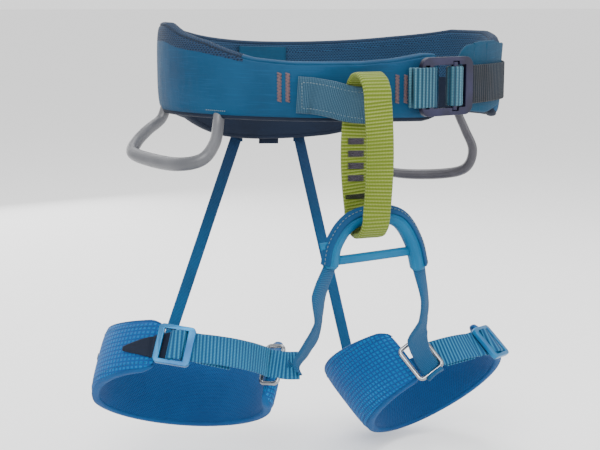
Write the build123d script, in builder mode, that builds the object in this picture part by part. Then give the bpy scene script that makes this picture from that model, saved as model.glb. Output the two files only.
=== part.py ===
from build123d import *
import os
from dataclasses import dataclass
from math import cos, hypot, radians, sin, tan

# A child's sit harness, in millimetres.  +X is the wearer's left, the front is -Y and +Z is up.
# The origin is the middle of the waist opening, at half the height of the belt's front.

# --- driving dimensions: the waist belt -------------------------------------------------------
BELT_RIGHT = 92        # outer face at the wearer's right hip
BELT_LEFT = 129        # outer face at the wearer's left hip, the side that closes
BELT_DEPTH = 86        # outer face at the front and at the back
BELT_SLANT = 0.03      # the belt lies a little higher on the wearer's right
BELT_TOP = ((-96, 20), (-50, 27), (-5, 34), (30, 34), (62, 28), (96, 20))
BELT_BOTTOM = ((-96, -19), (0, -21), (40, -22), (62, -29), (80, -42), (96, -50))
FABRIC = 1.0           # outer cloth
BELT_FOAM = 6.0
MESH = 1.5             # inner spacer mesh
PLY_GAP = 0.1          # between the plies of a pad
BINDING = 3.0          # height of the rolled edge
WEBBING = 1.6          # thickness of load webbing
WAIST_WEB = 23         # width of the waist webbing
RIGHT_DIP = (          # (y, z) of the top edge where it dips, on the wearer's right
    (-96, 15.5), (-86, 15.5), (-78, 15.8), (-66, 18), (-56, 21.7), (-42.5, 26.8), (-22, 31.4), (0, 38))
LEFT_DIP = ((0, 15.5), (22, 16.7), (45, 19.5), (60, 22))   # and (x, z) under the buckle
BELT_ENDS = (-96, 96)  # how far a straight belt edge runs, front to back
BELT_THICK = FABRIC + BELT_FOAM + MESH + 2 * PLY_GAP
PAD_FRONT_X = 57       # the pad ends here, under the waist buckle
WING_FRONT_Y = -40     # the wing ends here, on the wearer's left

# --- belay loop and lower tie-in tube ------------------------------------------------------------
LOOP_X = -3
LOOP_WIDTH = 16.5
LOOP_THICK = 3.0
LOOP_FRONT, LOOP_BACK = -117, -87.5
LOOP_TOP, LOOP_BOTTOM = 10.5, -82.5
TUBE_Y = -101
TUBE_RADIUS = 5.2
TUBE_PATH = (
    (-24.5, -100, -98.5), (-22.2, TUBE_Y, -85), (-13, TUBE_Y, -72), (2.5, TUBE_Y, -70),
    (18, TUBE_Y, -72.4), (26.2, TUBE_Y, -87), (31, -100, -103),
)
CROSSBAR_Z = -93.5
CROSSBAR_X = (-17.3, 21.7)     # the ends of the strap across the tube's arch

# --- leg loops -------------------------------------------------------------------------------------
LEG_FOAM = 3.8
LEG_MESH = 1.2
LEG_BINDING = 2.2
LEG_THICK = FABRIC + LEG_FOAM + LEG_MESH + 2 * PLY_GAP
LEG_WEB = 17.5
BUCKLE_BAR = 3.0       # thickness of the leg buckle
WIRE = 1.3             # radius of the wire rings
RING_STAND_OFF = {"right": 1.0, "left": 4.4}
RING_HALF = {"right": (5.6, 12), "left": (8.5, 11.5)}
TAIL_LENGTH = {"right": 24, "left": 20}     # free end of each leg strap, past its buckle

# --- risers and gear loops ---------------------------------------------------------------------------
RISER_WIDTH, RISER_THICK = 8, 1.8
RISER_RIGHT_X, RISER_LEFT_X = -18, 27.5
RISER_TOP_Z = -52
RISER_FOOT = {"right": 91, "left": 124}      # bearings where they meet the leg loops
GEAR_LOOP_BEND = 6
GEAR_LOOPS = {         # radius of the tube, and the corners of its path
    "right": (3.7, (
        (-77.9, -53.1, -15), (-80.3, -61.5, -29), (-88, -63.5, -40), (-98, -50, -43),
        (-108, -25, -42.5), (-115.5, -6, -41), (-101, 5, -28.6), (-90.5, 10, -22.8))),
    "left": (3.2, (
        (121.5, 27, -26.4), (128, 26.5, -38), (133.5, 25.3, -52), (131.5, 28.8, -64),
        (119, 41, -69.8), (94, 62, -71.5), (80, 71.5, -67), (73, 70, -43))),
}

# --- the waist buckle and the strap's free end --------------------------------------------------------
BUCKLE_TURN = 17
BUCKLE_PLANE = Plane(
    (34, -89.5, 0),
    x_dir=(cos(radians(BUCKLE_TURN)), sin(radians(BUCKLE_TURN)), 0),
    z_dir=(sin(radians(BUCKLE_TURN)), -cos(radians(BUCKLE_TURN)), 0),
)
FRAME_X = (2, 43)          # ends of the frame, along the webbing
FRAME_HALF_HEIGHT = 17
FRAME_HALF_THICK = 1.7
FRAME_CORNER = 6
ANCHOR_BAR_X = 9.5         # axis that the frame tilts about
ANCHOR_BAR_HALF = 1.8
SLIDE_BAR_X = 29
SLIDE_BAR_HALF = 2.0
TAIL_TURN = 50             # the free end runs straight, inside the curve of the strap
TAIL_REACH = 42
TAIL_PLANE = Plane(
    (62, -75.2, 0),
    x_dir=(cos(radians(TAIL_TURN)), sin(radians(TAIL_TURN)), 0),
    z_dir=(sin(radians(TAIL_TURN)), -cos(radians(TAIL_TURN)), 0),
)

BLANK = 90             # half the height of an uncut ring
REACH = 220            # farther than any piece reaches


@dataclass
class Leg:
    """One leg loop: an oval band, narrow where it is buckled and wide behind the thigh."""
    name: str
    side: int            # -1 wearer's right, +1 wearer's left
    centre: tuple
    half_width: float
    half_depth: float
    tilt: float          # front up, degrees
    lean: float          # top towards the middle, degrees
    slant: float         # edges rise towards the middle, degrees
    narrow: float        # bearing of the narrowest place, 0 lateral and 90 behind
    top: tuple
    bottom: tuple
    pad_start: float
    pad_end: float
    buckle_at: float
    ring_at: float
    web_drop: float

    def __post_init__(self):
        turned = [
            Vector(*v).rotate(Axis.X, -self.tilt).rotate(Axis.Y, -self.side * self.lean)
            for v in ((1, 0, 0), (0, 0, 1))
        ]
        self.plane = Plane(self.centre, x_dir=turned[0], z_dir=turned[1])

    def world(self, x, y, z):
        return self.plane.from_local_coords(Vector(x, y, z))

    def heading(self, x, y, z):
        return self.world(x, y, z) - self.world(0, 0, 0)

    def rise(self, x):
        """Height that the slant adds at a sideways distance from the middle of the loop."""
        return -self.side * x * tan(radians(self.slant))

    def seat(self, bearing, stand_off, height=0.0):
        """Plane on the band at a bearing: +Z outwards, +Y up the band."""
        c, s = cos(radians(bearing)), sin(radians(bearing))
        nx, ny = c / self.half_width, s / self.half_depth
        size = hypot(nx, ny)
        nx, ny = self.side * nx / size, ny / size
        x = self.side * self.half_width * c + nx * stand_off
        y = self.half_depth * s + ny * stand_off
        origin = self.world(x, y, height + self.rise(x))
        return Plane(origin, x_dir=self.heading(-ny, nx, 0), z_dir=self.heading(nx, ny, 0))


RIGHT = Leg(
    name="right", side=-1, centre=(-81, -8, -177), half_width=56, half_depth=54,
    tilt=27, lean=24, slant=9, narrow=-55,
    top=((-75, 16), (0, 24), (75, 26)), bottom=((-75, -11), (0, -24), (75, -28)),
    pad_start=-46, pad_end=228, buckle_at=-58, ring_at=-128, web_drop=0,
)
LEFT = Leg(
    name="left", side=1, centre=(77, -8, -195), half_width=50, half_depth=58,
    tilt=39, lean=30, slant=17, narrow=-10,
    top=((-70, 12), (0, 18), (70, 27)), bottom=((-70, -12), (0, -20), (70, -29)),
    pad_start=-26, pad_end=256, buckle_at=-44, ring_at=-98, web_drop=-9,
)


def write(piece, name):
    """Label a finished piece and write its STEP file."""
    piece.part.label = name
    export_step(piece.part, f"parts/{name}.step")


def block(x0, x1, y0, y1, z0=-REACH, z1=REACH):
    """A box between two corners, used to keep or to cut a stretch of a band."""
    with BuildPart(mode=Mode.PRIVATE) as box:
        with BuildSketch(Plane.XY.offset(z0)):
            with Locations(((x0 + x1) / 2, (y0 + y1) / 2)):
                Rectangle(x1 - x0, y1 - y0)
        extrude(amount=z1 - z0)
    return box.part


# ===== waist belt ================================================================================

def belt_ring(outer, inner):
    """Plan of a belt ply, between two depths below the belt's outer face."""
    with BuildSketch(mode=Mode.PRIVATE) as ring:
        for depth, mode in ((outer, Mode.ADD), (inner, Mode.SUBTRACT)):
            with BuildLine():
                for half, start in ((BELT_LEFT, -90), (BELT_RIGHT, 90)):
                    EllipticalCenterArc((0, 0), half - depth, BELT_DEPTH - depth, start, arc_size=180)
            make_face(mode=mode)
    return ring.sketch


def belt_profile(top, bottom):
    """Side view of the belt between two edges, each given as (y, z) points from front to back."""
    plane = Plane((0, 0, 0), x_dir=(0, 1, 0), z_dir=(1, 0, -BELT_SLANT))
    with BuildPart(mode=Mode.PRIVATE) as profile:
        with BuildSketch(plane):
            with BuildLine():
                Polyline(*top, *reversed(bottom), close=True)
            make_face()
        extrude(amount=REACH, both=True)
    return profile.part


def raised(edge, rise):
    return tuple((y, z + rise) for y, z in edge)


def belt_ply(outer, inner, top, bottom):
    """A full ring of the belt, between two depths and two edges."""
    with BuildPart(mode=Mode.PRIVATE) as ply:
        with BuildSketch(Plane.XY.offset(-BLANK)):
            add(belt_ring(outer, inner))
        extrude(amount=2 * BLANK)
        add(belt_profile(top, bottom), mode=Mode.INTERSECT)
    return ply.part


def belt_patch(outer, inner, z0, z1, x0, x1, y0, y1):
    """A stretch of a belt ply of constant height, inside a plan window."""
    flat_top, flat_bottom = [[(y, z) for y in BELT_ENDS] for z in (z1, z0)]
    with BuildPart(mode=Mode.PRIVATE) as patch:
        add(belt_ply(outer, inner, flat_top, flat_bottom))
        add(block(x0, x1, y0, y1), mode=Mode.INTERSECT)
    return patch.part


def pad_opening():
    """The gap in the belt's pad, from under the buckle to the wing."""
    return block(PAD_FRONT_X, REACH, -REACH, WING_FRONT_Y)


def front_dip(drop):
    """All that lies above the front of the belt's top edge, lowered by a drop."""
    with BuildPart(mode=Mode.PRIVATE) as dip:
        for plane, edge, sweep in ((Plane.YZ, RIGHT_DIP, -REACH), (Plane.XZ, LEFT_DIP, REACH)):
            (first, _), (last, _) = edge[0], edge[-1]
            with BuildSketch(plane):
                with BuildLine():
                    Polyline(*raised(edge, -drop), (last, BLANK), (first, BLANK), close=True)
                make_face()
            extrude(amount=sweep)
    return dip.part


def waist_belt():
    """The padded belt: cloth, foam with webbing let into it, mesh and rolled edges."""
    skin = FABRIC + PLY_GAP
    foam_back = skin + BELT_FOAM
    load = skin + WEBBING
    top_in = raised(BELT_TOP, -BINDING - PLY_GAP)
    bottom_in = raised(BELT_BOTTOM, BINDING + PLY_GAP)
    web = [[(y, side * WAIST_WEB / 2) for y in BELT_ENDS] for side in (1, -1)]
    dip_in = front_dip(BINDING + PLY_GAP)

    with BuildPart() as waist_belt_outer_fabric:
        add(belt_ply(0, FABRIC, top_in, bottom_in))
        add(dip_in, mode=Mode.SUBTRACT)
        add(pad_opening(), mode=Mode.SUBTRACT)
    write(waist_belt_outer_fabric, "waist_belt_outer_fabric")

    with BuildPart() as waist_belt_foam:
        add(belt_ply(skin, foam_back, top_in, bottom_in))
        add(belt_ply(FABRIC / 2, load + PLY_GAP, raised(web[0], PLY_GAP), raised(web[1], -PLY_GAP)),
            mode=Mode.SUBTRACT)
        add(dip_in, mode=Mode.SUBTRACT)
        add(pad_opening(), mode=Mode.SUBTRACT)
    write(waist_belt_foam, "waist_belt_foam")

    with BuildPart() as waist_load_webbing:
        add(belt_ply(skin, load, *web))
        add(pad_opening(), mode=Mode.SUBTRACT)
    write(waist_load_webbing, "waist_load_webbing")

    with BuildPart() as waist_belt_mesh_lining:
        add(belt_ply(foam_back + PLY_GAP, BELT_THICK, top_in, bottom_in))
        add(dip_in, mode=Mode.SUBTRACT)
        add(pad_opening(), mode=Mode.SUBTRACT)
    write(waist_belt_mesh_lining, "waist_belt_mesh_lining")

    with BuildPart() as waist_belt_top_binding:
        add(belt_ply(0, BELT_THICK, BELT_TOP, BELT_BOTTOM))
        add(front_dip(0), mode=Mode.SUBTRACT)
        add(belt_profile(raised(BELT_TOP, -BINDING), raised(BELT_BOTTOM, -BINDING))
            - front_dip(BINDING), mode=Mode.SUBTRACT)
        add(pad_opening(), mode=Mode.SUBTRACT)
    write(waist_belt_top_binding, "waist_belt_top_binding")

    with BuildPart() as waist_belt_bottom_binding:
        add(belt_ply(0, BELT_THICK, raised(BELT_BOTTOM, BINDING), BELT_BOTTOM))
        add(pad_opening(), mode=Mode.SUBTRACT)
    write(waist_belt_bottom_binding, "waist_belt_bottom_binding")


def belt_trim():
    """Patches, tabs and bar tacks sewn to the belt."""
    with BuildPart() as waist_back_patch:
        add(belt_patch(BELT_THICK + PLY_GAP, BELT_THICK + 1, -26, 16, -23, 15, 0, REACH))
    write(waist_back_patch, "waist_back_patch")

    with BuildPart() as haul_tabs:
        add(belt_patch(-1.5, -PLY_GAP, -51, -38, -2, 12, 0, REACH))
        add(belt_patch(-1.5, -PLY_GAP, -26, -16, 32, 44, -REACH, 0))
    write(haul_tabs, "haul_tabs")

    with BuildPart() as riser_anchors:
        for x in (RISER_RIGHT_X, RISER_LEFT_X):
            add(belt_patch(-1.9, -PLY_GAP, RISER_TOP_Z, -24, x - 6, x + 6, 0, REACH))
    write(riser_anchors, "riser_anchors")

    with BuildPart() as waist_bar_tacks:
        for x in (-45, -40.8, 22.5, 28):
            add(belt_patch(-0.8, -PLY_GAP, -8, 7.5, x - 1, x + 1, -REACH, 0))
    write(waist_bar_tacks, "waist_bar_tacks")


def tie_in_strap():
    """Sleeved strap across the front.  It stands off the belt where the belay loop goes round it."""
    with BuildPart() as strap:
        with BuildSketch(Plane.XY.offset(-BLANK)):
            with BuildLine():
                inner = FilletPolyline(
                    (-36, -80.4), (-26, -84.5), (-14, -92.9), (6, -92.9), (17, -87.4), radius=6)
                Line(inner @ 1, (17.8, -89.4))
                outer = FilletPolyline(
                    (17.8, -89.4), (6.5, -95.1), (-14.6, -95.1), (-27, -86.5), (-36.8, -82.4), radius=6)
                Line(outer @ 1, inner @ 0)
            make_face()
        extrude(amount=2 * BLANK)
        with BuildSketch(Plane.XZ):
            with BuildLine():
                Polyline((-40, 7.5), (-28, 6), (-12, 2.5), (4, 1), (12, 5), (20, 9),
                         (20, -10), (12, -14), (4, -18.5), (-12, -17), (-28, -15), (-40, -13), close=True)
            make_face()
        extrude(amount=REACH, both=True, mode=Mode.INTERSECT)
    write(strap, "tie_in_strap")


# ===== waist buckle ==============================================================================

def slab(plane, x0, x1, y0, y1, z0, z1):
    """A box on a plane, between local corners."""
    with BuildPart(mode=Mode.PRIVATE) as box:
        with BuildSketch(plane.offset(z0)):
            with Locations(((x0 + x1) / 2, (y0 + y1) / 2)):
                Rectangle(x1 - x0, y1 - y0)
        extrude(amount=z1 - z0)
    return box.part


def waist_buckle():
    """Frame with two windows, a sliding bar, and the webbing on either side."""
    half_web = WAIST_WEB / 2
    window = half_web + 0.9
    x0, x1 = FRAME_X
    bar = ANCHOR_BAR_X
    with BuildPart() as waist_buckle_frame:
        with BuildSketch(BUCKLE_PLANE.offset(-FRAME_HALF_THICK)):
            with Locations(((x0 + x1) / 2, 0)):
                RectangleRounded(x1 - x0, 2 * FRAME_HALF_HEIGHT, FRAME_CORNER)
            windows = (x0 + 2.4, bar - ANCHOR_BAR_HALF), (bar + ANCHOR_BAR_HALF, x1 - FRAME_CORNER)
            for left, right in windows:
                with Locations(((left + right) / 2, 0)):
                    Rectangle(right - left, 2 * window, mode=Mode.SUBTRACT)
        extrude(amount=2 * FRAME_HALF_THICK)
        add(slab(BUCKLE_PLANE, SLIDE_BAR_X - 2.6, SLIDE_BAR_X + 2.6, -window - 2.2, window + 2.2, -1.5, 3),
            mode=Mode.SUBTRACT)
    write(waist_buckle_frame, "waist_buckle_frame")

    with BuildPart() as waist_buckle_slide_bar:
        add(slab(BUCKLE_PLANE, SLIDE_BAR_X - SLIDE_BAR_HALF, SLIDE_BAR_X + SLIDE_BAR_HALF,
                 -window - 2, window + 2, -1.4, 1.4))
    write(waist_buckle_slide_bar, "waist_buckle_slide_bar")

    fold = FRAME_HALF_THICK + 0.3
    with BuildPart() as waist_buckle_anchor:
        add(slab(BUCKLE_PLANE, -6, ANCHOR_BAR_X + 3.6, -half_web, half_web, fold, fold + WEBBING))
        add(slab(BUCKLE_PLANE, -6, ANCHOR_BAR_X + 3.6, -half_web, half_web, -fold - WEBBING, -fold))
        add(slab(BUCKLE_PLANE, ANCHOR_BAR_X + 2, ANCHOR_BAR_X + 3.6, -half_web, half_web, -fold, fold))
        add(slab(BUCKLE_PLANE, -6, 1.7, -half_web, half_web, -fold, fold))
    write(waist_buckle_anchor, "waist_buckle_anchor")

    end = BUCKLE_PLANE.from_local_coords(Vector(FRAME_X[1], 0, -fold - WEBBING))
    with BuildPart() as waist_strap:
        for z in (fold, -fold - WEBBING):
            add(slab(BUCKLE_PLANE, SLIDE_BAR_X - 4, SLIDE_BAR_X + 4, -half_web, half_web, z, z + WEBBING))
        add(slab(BUCKLE_PLANE, SLIDE_BAR_X - 4, SLIDE_BAR_X - 2.6, -half_web, half_web, -fold, fold))
        add(slab(BUCKLE_PLANE, SLIDE_BAR_X, FRAME_X[1], -half_web, half_web, -fold - WEBBING, -fold))
        with BuildSketch(Plane.XY.offset(-half_web)):
            with BuildLine():
                Polyline((end.X - 1.5, end.Y - 0.3), (end.X - 1, end.Y - 2.2), (86, -66.2), (94, -61.4),
                         (93, -60.2), (85, -65), close=True)
            make_face()
        extrude(amount=WAIST_WEB)
        add(belt_patch(-0.4 - WEBBING, -0.4, -half_web, half_web, 90, REACH, -REACH, 22))
    write(waist_strap, "waist_strap")


def waist_closure():
    """The tongue behind the buckle, the strap's free end and its keeper."""
    with BuildPart() as waist_tongue:
        with BuildSketch(Plane.XY.offset(-BLANK)):
            add(belt_ring(3.4, 5.6))
        extrude(amount=2 * BLANK)
        add(block(74, REACH, -REACH, WING_FRONT_Y - 0.3), mode=Mode.INTERSECT)
        with BuildSketch(Plane.XZ):
            with BuildLine():
                Polyline((74, -6), (74, 12), (80, 22), (118, 24), (118, -14), (96, -18), (82, -17),
                         close=True)
            make_face()
        extrude(amount=REACH, both=True, mode=Mode.INTERSECT)
    write(waist_tongue, "waist_tongue")

    with BuildPart() as waist_strap_tail:
        add(slab(TAIL_PLANE, 0, TAIL_REACH, -WAIST_WEB / 2 + 1, WAIST_WEB / 2 - 1, 0, WEBBING))
    write(waist_strap_tail, "waist_strap_tail")

    keeper_y = (2, 12)
    half = WAIST_WEB / 2
    with BuildPart() as waist_strap_keeper:
        add(belt_patch(-3.4, -2.3, -half - 2, half + 2, 0, REACH, *keeper_y))
        for z0 in (-half - 2, half + 0.4):
            add(belt_patch(-2.4, -PLY_GAP, z0, z0 + 1.6, 0, REACH, *keeper_y))
    write(waist_strap_keeper, "waist_strap_keeper")


# ===== belay loop and lower tie-in tube ==========================================================

def belay_loop():
    """Stitched ring of webbing, round the tie-in strap above and the tube below."""
    depth = LOOP_BACK - LOOP_FRONT
    height = LOOP_TOP - LOOP_BOTTOM
    middle = ((LOOP_BACK + LOOP_FRONT) / 2, (LOOP_TOP + LOOP_BOTTOM) / 2)
    with BuildPart() as loop:
        with BuildSketch(Plane.YZ.offset(LOOP_X)):
            with Locations(middle):
                RectangleRounded(depth, height, depth / 2 - 1)
                RectangleRounded(depth - 2 * LOOP_THICK, height - 2 * LOOP_THICK,
                                 depth / 2 - 1 - LOOP_THICK, mode=Mode.SUBTRACT)
        extrude(amount=LOOP_WIDTH / 2, both=True)
    write(loop, "belay_loop")

    inner_face = Plane((LOOP_X, LOOP_BACK - LOOP_THICK, 0), x_dir=(1, 0, 0), z_dir=(0, -1, 0))
    with BuildPart() as belay_loop_tacks:
        with BuildSketch(inner_face):
            with Locations(*[(0, z) for z in (-29, -36, -43, -50)]):
                Rectangle(9, 3)
            with Locations((0, -60.5)):
                Rectangle(13, 4)
        extrude(amount=0.6)
    write(belay_loop_tacks, "belay_loop_tacks")


def tie_in_tube():
    """Arched tube of folded webbing, its sewn flap, the strap across it and a small tag."""
    with BuildPart() as tube:
        with BuildLine():
            path = FilletPolyline(*TUBE_PATH, radius=16)
        with BuildSketch(Plane(path @ 0, z_dir=path % 0)):
            Circle(TUBE_RADIUS)
        sweep()
    write(tube, "tie_in_tube")

    with BuildPart() as crossbar:
        x0, x1 = CROSSBAR_X
        with BuildSketch(Plane((x0, TUBE_Y, CROSSBAR_Z), x_dir=(0, 0, 1), z_dir=(1, 0, 0))):
            Rectangle(5.2, 2.4)
        extrude(amount=x1 - x0)
    write(crossbar, "crossbar_strap")

    with BuildPart() as tag:
        add(slab(Plane.XZ, -33, -28, -88, -83, -TUBE_Y, -TUBE_Y + 1))
    write(tag, "tie_in_tag")


# ===== straps between the tube, the belt and the leg loops =======================================

def ribbon(points, widths, thick, across):
    """Flat webbing lofted through sections at points, each facing along its run."""
    count = len(points)
    with BuildPart(mode=Mode.PRIVATE) as strap:
        for i, (point, width, side) in enumerate(zip(points, widths, across)):
            before, after = Vector(points[max(i - 1, 0)]), Vector(points[min(i + 1, count - 1)])
            run = (after - before).normalized()
            flat = Vector(side) - run * Vector(side).dot(run)
            with BuildSketch(Plane(point, x_dir=flat, z_dir=run)):
                Rectangle(width, thick)
        loft(ruled=True)
    return strap.part


def bridge_straps():
    """Webbing from each end of the tube down to the wire ring of a leg loop."""
    with BuildPart() as right:
        add(ribbon(
            ((-24.7, -99.8, -99.4), (-28.5, -95, -114), (-25, -84, -132), (-23.5, -70, -148),
             (-25, -57, -160), (-32, -51, -167)),
            (10, 13, 9, 10, 14, 14), 2.4,
            ((1, 0.3, 0), (1, 0.6, 0), (0.8, 1, 0), (1, 0.4, 0), (0.7, 0, 0.7), (0, 0, 1)),
        ))
    write(right, "bridge_strap_right")
    with BuildPart() as left:
        add(ribbon(
            ((31.2, -99.8, -104), (37.5, -95, -122), (41.5, -86, -137), (43.5, -75, -151),
             (49, -64.5, -165)),
            (10, 8, 8, 15, 11), 2.4,
            ((1, 0.3, 0), (1, 1, 0), (1, 0.8, 0), (1, 0.2, 0), (1, 0, 0.2)),
        ))
    write(left, "bridge_strap_left")


def risers():
    """Elastic straps from the back of the belt down to the back of each leg loop."""
    for leg, x in ((RIGHT, RISER_RIGHT_X), (LEFT, RISER_LEFT_X)):
        edge = leg.seat(RISER_FOOT[leg.name], -2.5, leg.top[1][1] + 6.5)
        start = Vector(x, BELT_DEPTH + 1, RISER_TOP_Z - RISER_THICK / 2)
        with BuildPart() as riser:
            run = edge.origin - start
            with BuildSketch(Plane(start, x_dir=(1, 0, 0), z_dir=run)):
                Rectangle(RISER_WIDTH, RISER_THICK)
            extrude(amount=run.length)
        write(riser, f"riser_{leg.name}")


# ===== gear loops ================================================================================

def gear_loops():
    """Moulded loops for hanging equipment, hinged on their two ends under the belt."""
    for name, (radius, points) in GEAR_LOOPS.items():
        with BuildPart() as loop:
            with BuildLine():
                path = FilletPolyline(*points, radius=GEAR_LOOP_BEND)
            with BuildSketch(Plane(path @ 0, z_dir=path % 0)):
                Circle(radius)
            sweep()
        write(loop, f"gear_loop_{name}")


# ===== leg loops =================================================================================

def wedge(leg, start, end):
    """Sector of the loop's plan between two bearings."""
    steps = 8
    bearings = [radians(start + (end - start) * i / steps) for i in range(steps + 1)]
    rim = [(leg.side * REACH * cos(a), REACH * sin(a)) for a in bearings]
    with BuildPart(mode=Mode.PRIVATE) as sector:
        with BuildSketch(leg.plane.offset(-BLANK)):
            with BuildLine():
                Polyline((0, 0), *rim, close=True)
            make_face()
        extrude(amount=2 * BLANK)
    return sector.part


def leg_profile(leg, top, bottom):
    """Side view of the band, from its narrowest place across to its widest."""
    n = radians(leg.narrow)
    slope = tan(radians(leg.slant))
    wide = leg.heading(-leg.side * cos(n), -sin(n), 0)
    across = leg.heading(leg.side * sin(n), -cos(n), -slope * sin(n))
    up = leg.plane.z_dir
    with BuildPart(mode=Mode.PRIVATE) as profile:
        with BuildSketch(Plane(leg.centre, x_dir=wide, z_dir=wide.cross(up))):
            with BuildLine():
                edges = [[(u, h + u * cos(n) * slope) for u, h in edge] for edge in (top, bottom)]
                Polyline(*edges[0], *reversed(edges[1]), close=True)
            make_face()
        extrude(amount=REACH, dir=across, both=True)
    return profile.part


def leg_ply(leg, outer, inner, top, bottom, start, end):
    """A stretch of the band between two depths, two edges and two bearings."""
    with BuildPart(mode=Mode.PRIVATE) as ply:
        with BuildSketch(leg.plane.offset(-BLANK)):
            Ellipse(leg.half_width - outer, leg.half_depth - outer)
            Ellipse(leg.half_width - inner, leg.half_depth - inner, mode=Mode.SUBTRACT)
        extrude(amount=2 * BLANK)
        add(leg_profile(leg, top, bottom), mode=Mode.INTERSECT)
        add(wedge(leg, start, end), mode=Mode.INTERSECT)
    return ply.part


def leg_pad(leg):
    """The padded part of a leg loop: cloth, foam, mesh and bound edges."""
    skin = FABRIC + PLY_GAP
    back = skin + LEG_FOAM
    top_in = raised(leg.top, -LEG_BINDING - PLY_GAP)
    bottom_in = raised(leg.bottom, LEG_BINDING + PLY_GAP)
    span = (leg.pad_start, leg.pad_end)
    for name, outer, inner in (
        ("outer_fabric", 0, FABRIC),
        ("foam", skin, back),
        ("mesh_lining", back + PLY_GAP, LEG_THICK),
    ):
        with BuildPart() as ply:
            add(leg_ply(leg, outer, inner, top_in, bottom_in, *span))
        write(ply, f"leg_{name}_{leg.name}")
    with BuildPart() as binding:
        add(leg_ply(leg, 0, LEG_THICK, leg.top, raised(leg.top, -LEG_BINDING), *span))
        add(leg_ply(leg, 0, LEG_THICK, raised(leg.bottom, LEG_BINDING), leg.bottom, *span))
    write(binding, f"leg_binding_{leg.name}")


def leg_straps(leg):
    """Webbing from the wire ring to the buckle, its free end, and the tabs sewn to the pad."""
    half = LEG_WEB / 2
    edges = [((-75, h), (75, h)) for h in (leg.web_drop + half, leg.web_drop - half)]
    with BuildPart() as strap:
        add(leg_ply(leg, -0.4 - WEBBING, -0.4, *edges, leg.ring_at - 6, leg.buckle_at + 2))
    write(strap, f"leg_strap_{leg.name}")

    with BuildPart() as anchor_tab:
        add(leg_ply(leg, -0.3 - WEBBING, -PLY_GAP, *edges, leg.buckle_at + 8, leg.buckle_at + 26))
    write(anchor_tab, f"leg_anchor_tab_{leg.name}")

    with BuildPart() as ring_tab:
        slim = [((-75, leg.web_drop + h), (75, leg.web_drop + h)) for h in (5, -5)]
        depth = LEG_THICK + PLY_GAP
        add(leg_ply(leg, depth, depth + 1.2, *slim, leg.pad_end - 14, leg.pad_end + 5))
    write(ring_tab, f"leg_ring_tab_{leg.name}")

    with BuildPart() as tail:
        add(slab(tail_plane(leg), 0, TAIL_LENGTH[leg.name], -half + 0.7, half - 0.7, 0, WEBBING))
    write(tail, f"leg_strap_tail_{leg.name}")


def tail_plane(leg):
    """Plane of a strap's free end, inside the strap: +X runs from the buckle to the wire ring."""
    start = leg.seat(leg.buckle_at - 13, -2.8, leg.web_drop).origin
    aim = leg.seat(leg.ring_at + 6, -5, leg.web_drop).origin
    run = aim - start
    return Plane(start, x_dir=run, z_dir=run.cross(leg.plane.z_dir) * leg.side)


def leg_buckle(leg):
    """Ladder-lock buckle, outside the strap, hinged on the tab at its lateral end."""
    seat = leg.seat(leg.buckle_at, 4.4, leg.web_drop)
    half_height = LEG_WEB / 2 + 3.2
    with BuildPart() as buckle:
        with BuildSketch(seat.offset(-BUCKLE_BAR / 2)):
            RectangleRounded(22, 2 * half_height, 3)
            for x0, x1 in ((-7.5, -0.9), (1.3, 6.6)):
                with Locations((-leg.side * (x0 + x1) / 2, 0)):
                    Rectangle(x1 - x0, LEG_WEB + 1.2, mode=Mode.SUBTRACT)
        extrude(amount=BUCKLE_BAR)
    write(buckle, f"leg_buckle_{leg.name}")


def wire_ring(leg):
    """Rectangular ring of bent wire."""
    seat = leg.seat(leg.ring_at, RING_STAND_OFF[leg.name], leg.web_drop)
    if leg.name == "right":
        seat = Plane(seat.origin, x_dir=seat.z_dir, z_dir=seat.x_dir)
    half_x, half_y = RING_HALF[leg.name]
    with BuildPart() as ring:
        with BuildLine(seat):
            path = FilletPolyline((half_x, half_y), (-half_x, half_y), (-half_x, -half_y), (half_x, -half_y),
                                  radius=2.6, close=True)
        with BuildSketch(Plane(path @ 0, z_dir=path % 0)):
            Circle(WIRE)
        sweep()
    write(ring, f"wire_ring_{leg.name}")



os.makedirs("parts", exist_ok=True)
waist_belt()
belt_trim()
tie_in_strap()
waist_buckle()
waist_closure()
belay_loop()
tie_in_tube()
bridge_straps()
risers()
gear_loops()
for leg_loop in (RIGHT, LEFT):
    leg_pad(leg_loop)
    leg_straps(leg_loop)
    leg_buckle(leg_loop)
    wire_ring(leg_loop)
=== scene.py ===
from math import acos, asin, ceil, cos, degrees, pi, radians, sin, tan

import bmesh
import bpy
import numpy as np
from mathutils import Matrix, Vector
from mathutils.bvhtree import BVHTree


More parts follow.
